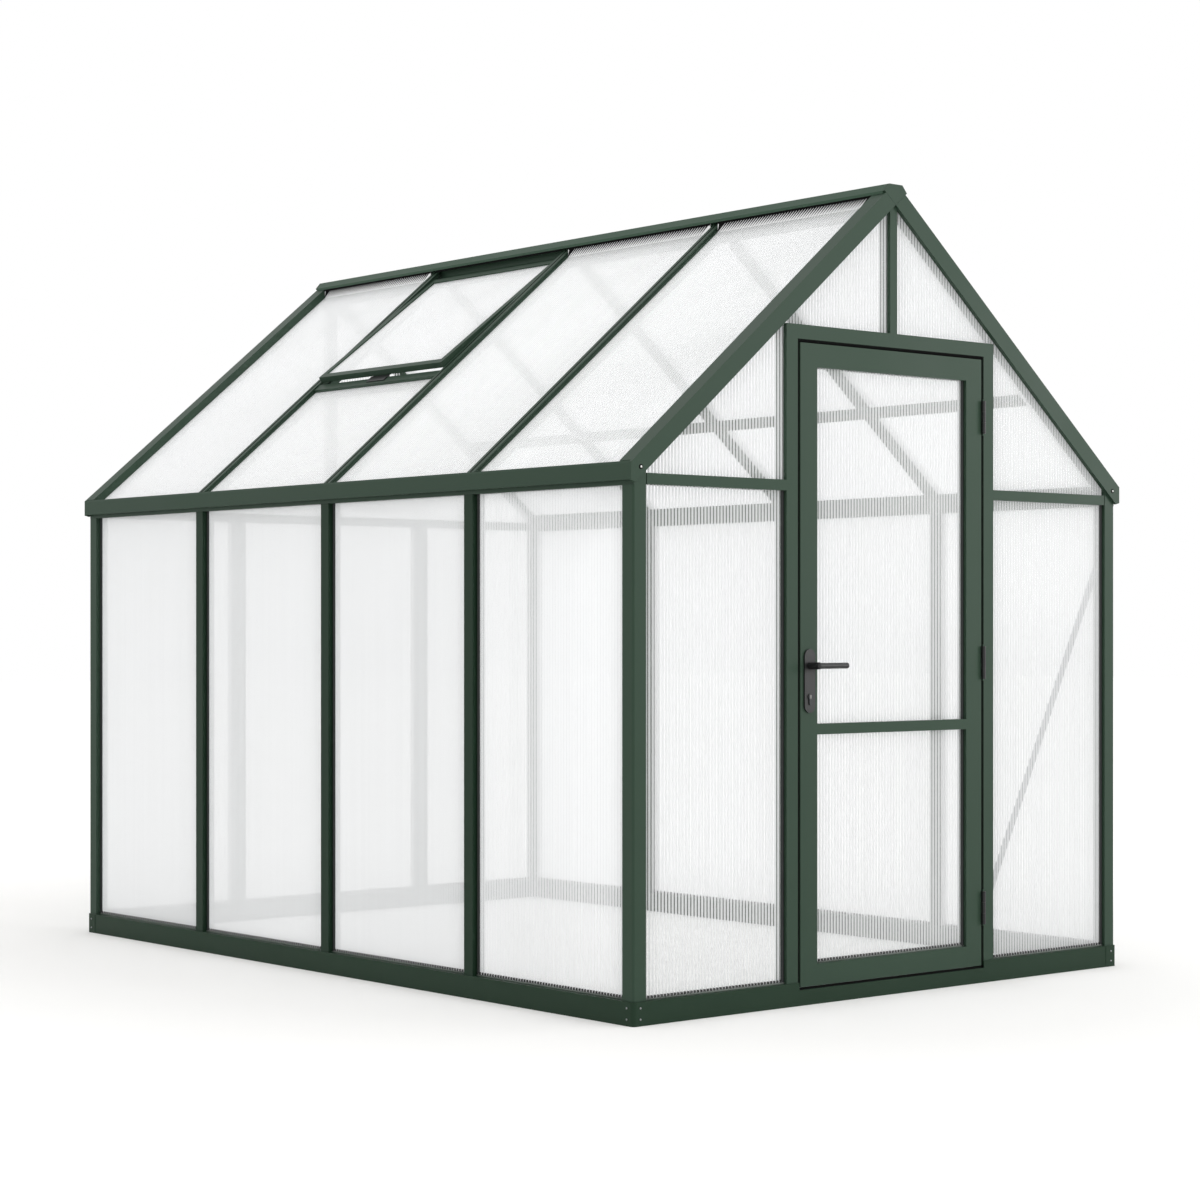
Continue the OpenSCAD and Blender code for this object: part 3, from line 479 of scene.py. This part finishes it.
def addFoot(body, axes, webPlace, webLow, runs, low, c0, c1, s):
    near = np.where(np.diff(webPlace) < glazingSet["gap"])[0]
    middle = (webPlace[near] + webPlace[near + 1]) / 2
    foot = webLow[near]
    points, faces = plugBlocks(middle, s["plugWide"] / 2, foot + s["lift"], foot + hold + s["plugTall"],
                               c0 + s["clear"], c1 - s["clear"], s["level"], s["pinch"])
    footShadePlugs[body].append((points @ axes, faces, 0))
    for a0, a1 in runs:
        for c in (c0 - s["beadDeep"] / 2, c1 + s["beadDeep"] / 2):
            ends = np.array([[a0 + hold, low + hold, c], [a1 - hold, low + hold, c]]) @ axes
            footBeads[body].append((ends[0], ends[1], (0, 0, 1)))


def buildSheets(name, body, s):
    co, area, normal = nodeArrays(name)
    axes = np.array(sheetAxes(co, area, normal))
    place = co @ axes.T
    c0, c1 = place[:, 2].min(), place[:, 2].max()
    panes = [place]
    if name == "door_sheets":  # two panes, one above the other
        levels = np.unique(np.round(place[:, 1], 4))
        upper = place[:, 1] > (levels[1] + levels[2]) / 2
        panes = [place[~upper], place[upper]]
    parts, webs = [], 0
    onRoof = name in ("left_roof_sheets", "right_roof_sheets", "vent_sheet")
    web = roofWeb if onRoof else frontWeb if abs(axes[2][1]) > 0.5 else milkyWeb
    for k, pane in enumerate(panes):
        a = np.unique(np.round(pane[:, 0], 5))
        column = np.searchsorted(a, np.round(pane[:, 0], 5))
        low = np.full(len(a), 1e9)
        high = np.full(len(a), -1e9)
        np.minimum.at(low, column, pane[:, 1])
        np.maximum.at(high, column, pane[:, 1])
        runs = []
        for run in np.split(np.arange(len(a)), np.where(np.diff(a) > s["gap"])[0] + 1):
            parts.append((*sheetShell(a[run], low[run], high[run], c0, c1), 0))
            runs.append((a[run[0]], a[run[-1]]))
        thin = np.where(np.diff(a) < s["webWidest"])[0]
        webPlace = (a[thin] + a[thin + 1]) / 2
        webLow = np.maximum(low[thin], low[thin + 1])
        webHigh = np.minimum(high[thin], high[thin + 1])
        parts.append((*webFaces(webPlace, webLow, webHigh, c0 + s["skin"], c1 - s["skin"]), 1))
        webs += len(thin)
        if onRoof:
            inside = (webPlace > a[0] + s["root"]) & (webPlace < a[-1] - s["root"])
            parts.append((*webRoots(webPlace[inside], webLow[inside], webHigh[inside],
                                    c1 - s["skin"] / 2, s["root"]), 2))
        if name in footed and k == 0:
            addFoot(body, axes, webPlace, webLow, runs, low.min(), c0, c1, footSet)
    points, faces, kinds = joined(parts)
    made = addPiece(name.replace("_sheets", "_panes").replace("_sheet", "_pane"), points @ axes, faces,
                    [clearSkin, web, milkyWeb], body, kinds, points[:, :2],
                    closed=False)
    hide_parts(name)
    made.visible_shadow = False  # lamps and sky shine through clear sheet
    return webs


webs = sum(buildSheets(name, body, glazingSet) for name, body in glazing.items())
print("glazing built:", webs, "webs")


# A profile carried along straight lines: corner = start or end + side * profile x + out * profile y.
# A line is (start, end, out), side being the line's direction crossed with out.
def carried(lines, profile):
    shape = np.asarray(profile, dtype=float)
    n = len(shape)
    points, faces = [], []
    for k, (start, end, out) in enumerate(lines):
        start, end, out = (np.asarray(v, dtype=float) for v in (start, end, out))
        along = (end - start) / np.linalg.norm(end - start)
        side = np.cross(along, out)
        rim = shape[:, :1] * side + shape[:, 1:] * out
        points.append(np.concatenate([start + rim, end + rim]))
        i = np.arange(n)
        j = (i + 1) % n
        base = 2 * n * k
        sides = np.column_stack([i, j, j + n, i + n]) + base
        faces += sides.tolist() + [(i[::-1] + base).tolist(), (i + n + base).tolist()]
    return np.concatenate(points), faces


# half a flattened circle standing on its chord: (w / 2 * cos t, h * sin t), t from 0 to pi
def bead(w, h, steps=6):
    t = np.linspace(0, math.pi, steps + 1)
    return np.column_stack([w / 2 * np.cos(t), h * np.sin(t)])


def addFeet(s):
    for body, parts in footShadePlugs.items():
        prefix = "" if body == "root" else body + "_"
        p, f = joined(parts)[:2]
        addPiece(prefix + "flute_shade_plugs", p, f, [blackRubberAndShade], body)
        p, f = carried(footBeads[body], bead(s["beadDeep"], s["beadTall"]))
        addPiece(prefix + "foot_beads", p, f, [greyRubber], body, smooth=True)


addFeet(footSet)
print("sheet feet closed")


# blocks from their lowest and highest corners
def boxes(low, high):
    low, high = np.asarray(low, dtype=float), np.asarray(high, dtype=float)
    pick = np.array([[0, 0, 0], [1, 0, 0], [1, 1, 0], [0, 1, 0],
                     [0, 0, 1], [1, 0, 1], [1, 1, 1], [0, 1, 1]])
    points = np.where(pick[None] == 1, high[:, None], low[:, None])
    face = np.array([[0, 3, 2, 1], [4, 5, 6, 7], [0, 1, 5, 4], [1, 2, 6, 5], [2, 3, 7, 6], [3, 0, 4, 7]])
    return points.reshape(-1, 3), (face[None] + 8 * np.arange(len(low))[:, None, None]).reshape(-1, 4)


# a black seal round the leaf: beads on the jambs, the head and the threshold that fill the gap and stop a
# little short of the leaf. They are a weather seal, and their black also paints the shade in the gap
sealShadeSet = {"bead": 0.003, "short": 0.0012, "deep": 0.0045, "clear": 0.005, "lip": 0.0022, "lipTall": 0.0005}


def buildDoorSealShade(s):
    leaf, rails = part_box("door_stiles"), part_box("door_rails")
    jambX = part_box("door_threshold")[1][0]
    gap = jambX - leaf[1][0]
    floor, top = rails[0][2] - gap, rails[1][2] + gap
    face = leaf[0][1]
    y = face + s["deep"]
    # the hinge side is sealed between the hinges
    stops = [floor]
    for g in clusters(nodeArrays("hinge_pins")[0][:, 2]):
        stops += [g[0] - s["clear"], g[-1] + s["clear"]]
    stops.append(top)
    runs = list(zip(stops[::2], stops[1::2]))
    lines = [
        ((-jambX, y, floor), (-jambX, y, top), (1, 0, 0)),
        ((-jambX, y, top), (jambX, y, top), (0, 0, -1)),
        ((-jambX, y, floor), (jambX, y, floor), (0, 0, 1)),
    ]
    lines += [((jambX, y, a), (jambX, y, b), (-1, 0, 0)) for a, b in runs]
    # a thin lip laps over the edge of the jambs and the head
    front = face - s["lipTall"]
    lips = [((-jambX - s["lip"], front, floor), (-jambX, face, top)),
            ((-jambX - s["lip"], front, top), (jambX + s["lip"], face, top + s["lip"]))]
    lips += [((jambX, front, a), (jambX + s["lip"], face, b)) for a, b in runs]
    lipPoints, lipFaces = boxes([a for a, b in lips], [b for a, b in lips])
    points, faces = carried(lines, bead(2 * s["bead"], gap - s["short"]))
    faces += (lipFaces + len(points)).tolist()
    addPiece("door_seal_shade", np.concatenate([points, lipPoints]), faces, [blackRubberAndShade], "root")


buildDoorSealShade(sealShadeSet)
print("door seal fitted")


# Under the ridge's lips a milky strip closes the room above the sheets. A black bead along its top and a row
# of black tufts in front of it are painted shade: they stand for the shade under the ridge's wing, seen
# through the flutes below the cap, dark at the top and fading down the slope. The tufts taper, one to each
# flute, and lean back. Tuft corner = (y, z), foot at y + lean * drop
ridgeSet = {"in": 0.0035, "thick": 0.001, "beadTall": 0.006, "beadDeep": 0.002, "pitch": 0.012,
            "inFromEnd": 0.01, "overSheet": 0.0005, "underLip": 0.0002, "tipClear": 0.001,
            "tuftWide": 0.0116, "tuftThick": 0.0006, "lean": 1.3, "clear": 0.0012}


def buildRidgeClosure(s):
    ridge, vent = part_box("ridge_beam"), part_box("vent_frame")
    ridgePoints = nodeArrays("ridge_beam")[0]
    lip = ridgePoints[ridgePoints[:, 0] > ridge[1][0] - flush][:, 2].min()
    co, area, normal = nodeArrays("left_roof_sheets")
    peak, out = co[np.argmax(co[:, 2])], normal[np.argmax(area)]
    x = ridge[1][0] - s["in"]
    foot = peak[2] - (x - abs(peak[0])) * abs(out[0]) / out[2] + s["overSheet"]
    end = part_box("left_roof_sheets")[1][1] - s["inFromEnd"]
    bars = [(g[0], g[-1]) for g in clusters(nodeArrays("left_roof_bars")[0][:, 1])]
    bays = np.concatenate([[-end], np.ravel(bars), [end]]).reshape(-1, 2) + [s["clear"], -s["clear"]]
    high = lip - s["underLip"]
    strips, beads, tuftPoints, tuftFaces, count = [[], []], [[], []], [], [], 0
    for side in (-1, 1):
        for y0, y1 in bays:
            b0, b1 = sorted((side * x, side * (x + s["beadDeep"])))
            beads[0].append((b0, y0, lip - s["beadTall"]))
            beads[1].append((b1, y1, high))
            if side < 0 and y0 < vent[1][1] and y1 > vent[0][1]:
                continue  # the vent closes its own bay
            x0, x1 = sorted((side * x, side * (x - s["thick"])))
            strips[0].append((x0, y0, foot))
            strips[1].append((x1, y1, high))
            n = int((y1 - y0) / s["pitch"])
            start = y0 + np.arange(n) * s["pitch"]
            drop = high - foot - s["tipClear"]
            tip = np.minimum(start + s["tuftWide"] / 2 + s["lean"] * drop, y1)
            y = np.column_stack([start, start + s["tuftWide"], tip])
            z = np.tile([high, high, high - drop], (n, 1))
            back = side * (x + s["underLip"])
            faceX = (back, back + side * s["tuftThick"])
            pair = [np.stack([np.full((n, 3), v), y, z], axis=2) for v in faceX]
            tuftPoints.append(np.concatenate(pair, axis=1).reshape(-1, 3))
            k = 6 * np.arange(n)[:, None] + count
            for corners in ((0, 1, 2), (5, 4, 3), (0, 3, 4, 1), (1, 4, 5, 2), (2, 5, 3, 0)):
                tuftFaces += (k + np.array(corners)).tolist()
            count += 6 * n
    p, f = boxes(*strips)
    addPiece("ridge_closures", p, f, [closureSheet], "root")
    p, f = boxes(*beads)
    faces = f.tolist() + [[v + len(p) for v in row] for row in tuftFaces]
    addPiece("ridge_shade_tufts", np.concatenate([p] + tuftPoints), faces, [blackRubberAndShade], "root")


buildRidgeClosure(ridgeSet)
print("ridge closed")


# a thin black strip runs down the middle of each roof bar's cap: painted shade, the dark of the groove there
grooveShadeSet = {"wide": 0.005, "proud": 0.0004, "inFromEnd": 0.004}


def buildBarGrooveShades(s):
    co, area, normal = nodeArrays("left_roof_sheets")
    flat = np.abs(normal[np.argmax(area)])
    pitch = math.atan2(flat[0], flat[2])
    lines = []
    for name, side in (("left_roof_bars", -1), ("right_roof_bars", 1)):
        co = nodeArrays(name)[0]
        out = np.array([side * math.sin(pitch), 0, math.cos(pitch)])
        down = np.array([side * math.cos(pitch), 0, -math.sin(pitch)])
        height = (co @ out).max()
        top = co[co @ out > height - flush]
        upper = down * ((top @ down).min() + s["inFromEnd"])
        lower = down * ((top @ down).max() - s["inFromEnd"])
        for g in clusters(top[:, 1]):
            middle = np.array([0, (g[0] + g[-1]) / 2, 0]) + out * height
            lines.append((middle + upper, middle + lower, out))
    w, t = s["wide"] / 2, s["proud"]
    p, f = carried(lines, [(-w, -t), (w, -t), (w, t), (-w, t)])
    addPiece("bar_groove_shades", p, f, [blackRubberAndShade], "root")


buildBarGrooveShades(grooveShadeSet)
print("roof bars' inserts laid")


# grey wedges hold each pane on one side: on the walls at the bay's far end, in the front and the
# door at the right. A wedge lies on the pane's face against the bar
wedgeSet = {"wide": 0.012, "tall": 0.004, "lift": 0.0002, "overBase": 0.006}


def wedgeLines(s):
    lines = {"root": [], "door": []}
    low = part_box("base_sides")[1][2] + s["overBase"]
    half = s["wide"] / 2
    posts = nodeArrays("corner_posts")[0]
    ends = [g[0] for g in clusters(nodeArrays("left_mullions")[0][:, 1])] + [clusters(posts[:, 1])[-1][0]]
    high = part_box("left_gutter")[0][2]
    for side, name in ((-1, "left_wall_sheets"), (1, "right_wall_sheets")):
        x = side * (abs(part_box(name)[0 if side < 0 else 1][0]) + s["lift"])
        lines["root"] += [((x, y - half, low), (x, y - half, high), (side, 0, 0)) for y in ends]
    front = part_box("front_wall_sheets")[0][1] - s["lift"]
    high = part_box("gable_rails")[0][2]
    for x in (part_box("door_jambs")[0][0], clusters(posts[:, 0])[-1][0]):
        lines["root"].append(((x - half, front, low), (x - half, front, high), (0, -1, 0)))
    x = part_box("door_rails")[1][0] - half
    rails = clusters(nodeArrays("door_rails")[0][:, 2])
    for lower, upper in zip(rails, rails[1:]):
        lines["door"].append(((x, front, lower[-1]), (x, front, upper[0]), (0, -1, 0)))
    return lines


def buildWedges(s):
    for body, lines in wedgeLines(s).items():
        p, f = carried(lines, bead(s["wide"], s["tall"], 4))
        addPiece("glazing_wedges" if body == "root" else "door_glazing_wedges", p, f, [wedgeRubber],
                 body)


buildWedges(wedgeSet)
print("glazing wedges fitted")


# Screw and bolt heads: a profile turned about an axis, point = place + r * (cos t * u + sin t * w)
# + h * axis, with its pole closed by one point. u comes from a slanting line that no axis follows
def heads(spots, profile, turns):
    slant = (0.36, 0.48, 0.8)
    t = np.arange(turns) * 2 * math.pi / turns
    points, faces = [], []
    rings = np.asarray(profile, dtype=float)
    n = len(rings)
    size = n * turns + 1
    for k, (place, axis) in enumerate(spots):
        place, axis = np.asarray(place, dtype=float), np.asarray(axis, dtype=float)
        u = np.cross(axis, slant)
        u = u / np.linalg.norm(u)
        w = np.cross(axis, u)
        circle = np.cos(t)[:, None] * u + np.sin(t)[:, None] * w
        ring = rings[:, :1, None] * circle[None] + rings[:, 1:, None] * axis
        points.append(np.concatenate([place + ring.reshape(-1, 3), [place + rings[-1, 1] * axis]]))
        i = np.arange(turns)
        j = (i + 1) % turns
        base = k * size
        for r in range(n - 1):
            faces += (np.column_stack([i, j, j + turns, i + turns]) + r * turns + base).tolist()
        faces.append((i[::-1] + base).tolist())
        last = (n - 1) * turns + base
        faces += np.column_stack([i + last, j + last, np.full(turns, n * turns + base)]).tolist()
    return np.concatenate(points), faces


# dome-headed bolts at the rafters' feet and small self-drilling screws at the base's corners
boltSet = {"radius": 0.0038, "dome": 0.0022, "turns": 16, "ring": 0.0066, "ringTall": 0.0010,
           "ringTurns": 20, "inFromEdge": 0.034, "belowTop": 0.016}
screwSet = {"radius": 0.0030, "dome": 0.0012, "turns": 12, "inFromEdge": 0.026,
            "heights": (0.018, 0.048)}
headSet = {"sunk": 0.0005, "edge": 0.0006, "flat": 0.12, "steps": 4}


# (radius, height) rows: a short edge that starts below the face, then a quarter round
def headProfile(radius, height, s):
    t = np.linspace(0, math.pi / 2, s["steps"] + 1)[:-1]
    r = np.concatenate([[radius], radius * np.cos(t), [radius * s["flat"]]])
    h = np.concatenate([[-s["sunk"]], height * np.sin(t) + s["edge"], [height + s["edge"]]])
    return np.column_stack([r, h])


def buildBolts(s):
    rafter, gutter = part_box("front_right_rafter"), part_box("right_gutter")
    x = rafter[1][0] - s["inFromEdge"]
    z = gutter[1][2] - s["belowTop"]
    y = rafter[0][1]
    spots = [((side * x, y, z), (0, -1, 0)) for side in (-1, 1)]
    points, faces = heads(spots, headProfile(s["ring"], s["ringTall"], headSet), s["ringTurns"])
    addPiece("bolt_washers", points, faces, [blackRubberAndShade], "root", smooth=True)
    spots = [((side * x, y - s["ringTall"], z), (0, -1, 0)) for side in (-1, 1)]
    points, faces = heads(spots, headProfile(s["radius"], s["dome"], headSet), s["turns"])
    addPiece("rafter_bolts", points, faces, [zincPlate], "root", smooth=True)


def buildScrews(s):
    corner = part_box("base_corners")
    x, y = corner[1][0], corner[1][1]
    spots = []
    for z in s["heights"]:
        for a in (-1, 1):
            for b in (-1, 1):
                spots.append(((a * x, b * (y - s["inFromEdge"]), z), (a, 0, 0)))
                spots.append(((a * (x - s["inFromEdge"]), b * y, z), (0, b, 0)))
    points, faces = heads(spots, headProfile(s["radius"], s["dome"], headSet), s["turns"])
    addPiece("base_screws", points, faces, [millAluminium], "root", smooth=True)


# the bright plug with the key's slot, on the face of the lock cylinder
keySet = {"wide": 0.0026, "tall": 0.0100, "proud": 0.0004, "belowTop": 0.0035}


def buildKeyPlug(s):
    low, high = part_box("lock_cylinder")
    x = (low[0] + high[0]) / 2
    z = high[2] - s["belowTop"]
    p, f = boxes([(x - s["wide"] / 2, low[1] - s["proud"], z - s["tall"])],
                 [(x + s["wide"] / 2, low[1] + s["proud"], z)])
    addPiece("key_plug", p, f, [brushedSteel], "door")


buildKeyPlug(keySet)
buildBolts(boltSet)
buildScrews(screwSet)
print("bolts and screws fitted")


scene.view_settings.view_transform = "Standard"
# a slanting line of sight passes several sheets, each with two skins and many webs
scene.cycles.transparent_max_bounces = 64
